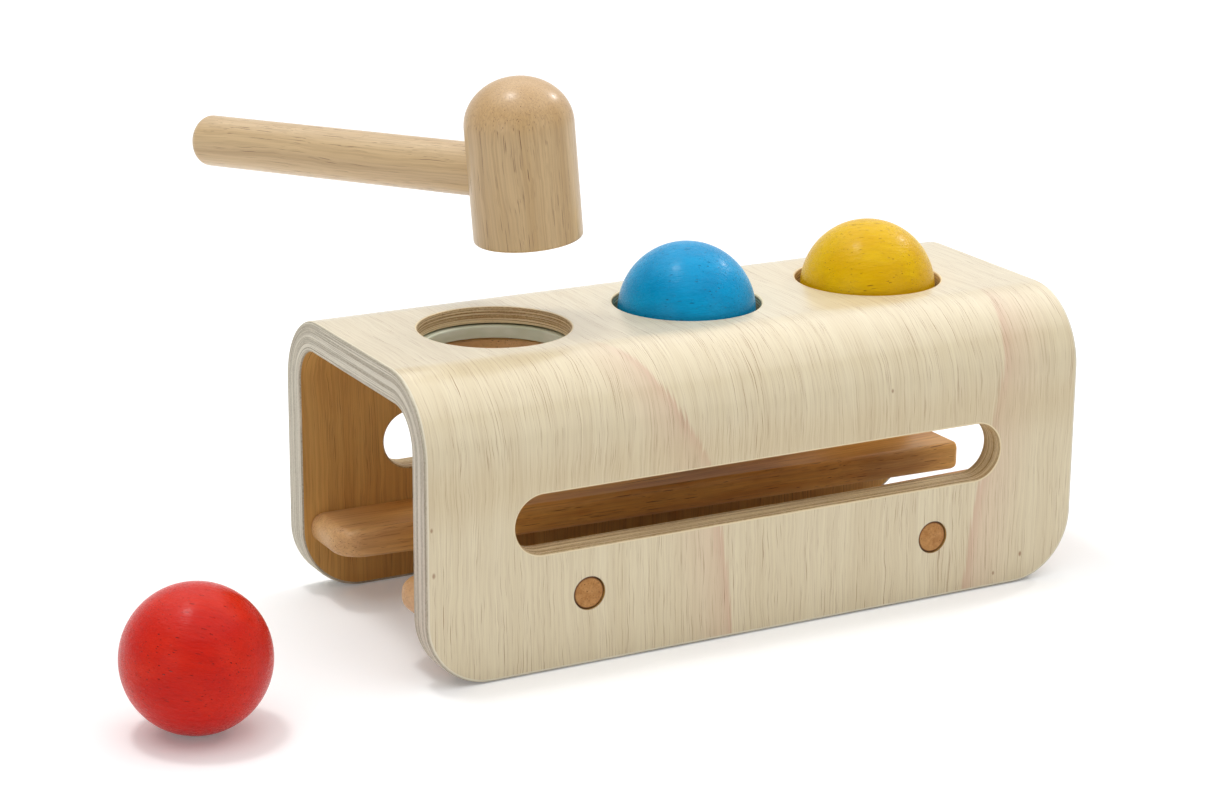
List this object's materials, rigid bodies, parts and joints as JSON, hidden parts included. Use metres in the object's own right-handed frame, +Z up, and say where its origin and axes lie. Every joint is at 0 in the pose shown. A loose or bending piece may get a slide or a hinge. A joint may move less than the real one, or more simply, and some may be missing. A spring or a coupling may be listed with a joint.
{
  "type": "ball pounding toy",
  "caption": "Bent-plywood toy bench with gripped holes in its top: balls pounded through with a small hammer roll out of one end on a pair of tapering rails.",
  "frame": {"origin": "on the floor under the middle of the housing", "axes": "+X along the housing to the right, away from the end that the balls roll out of; +Y to the back; +Z up"},
  "size_m": [0.3442, 0.2026, 0.1818],
  "materials": {
    "plywood": "satin lacquer",
    "board_wood": "satin",
    "rail_wood": "satin",
    "plug_wood": "satin",
    "hammer_wood": "satin",
    "grip_rubber": "matte",
    "steel": "zinc plated",
    "blue_wood": "satin stain",
    "yellow_wood": "satin stain",
    "red_wood": "satin stain"
  },
  "bodies": {
    "bench": {"housing": "plywood", "grip_ring_left": "grip_rubber", "grip_ring_middle": "grip_rubber", "grip_ring_right": "grip_rubber", "ring_board": "board_wood", "board_screw_1": "steel", "board_screw_2": "steel", "board_screw_3": "steel", "board_screw_4": "steel", "board_screw_5": "steel", "board_screw_6": "steel", "rail_front": "rail_wood", "rail_rear": "rail_wood", "rail_screw_front_left": "steel", "rail_screw_front_right": "steel", "rail_screw_rear_left": "steel", "rail_screw_rear_right": "steel", "plug_front_left": "plug_wood", "plug_front_right": "plug_wood", "plug_rear_left": "plug_wood", "plug_rear_right": "plug_wood"},
    "blue_ball": {"ball_blue": "blue_wood"},
    "yellow_ball": {"ball_yellow": "yellow_wood"},
    "red_ball": {"ball_red": "red_wood"},
    "hammer": {"hammer_head": "hammer_wood", "hammer_handle": "hammer_wood"}
  },
  "joints": [
    {"name": "blue_ball_drop", "type": "slide", "parent": "bench", "child": "blue_ball", "axis": [0, 0, 1], "range_m": [-0.0523, 0.03]},
    {"name": "yellow_ball_drop", "type": "slide", "parent": "bench", "child": "yellow_ball", "axis": [0, 0, 1], "range_m": [-0.0499, 0.03]},
    {"name": "red_ball_roll", "type": "slide", "parent": "bench", "child": "red_ball", "axis": [1, 0, 0], "range_m": [-0.06, 0.04]},
    {"name": "hammer_swing", "type": "hinge", "parent": "bench", "child": "hammer", "pos_m": [-0.11302, 0.10633, 0.14396], "axis": [-0.8962, -0.4383, -0.0687], "range_deg": [-11.8, 60]}
  ]
}
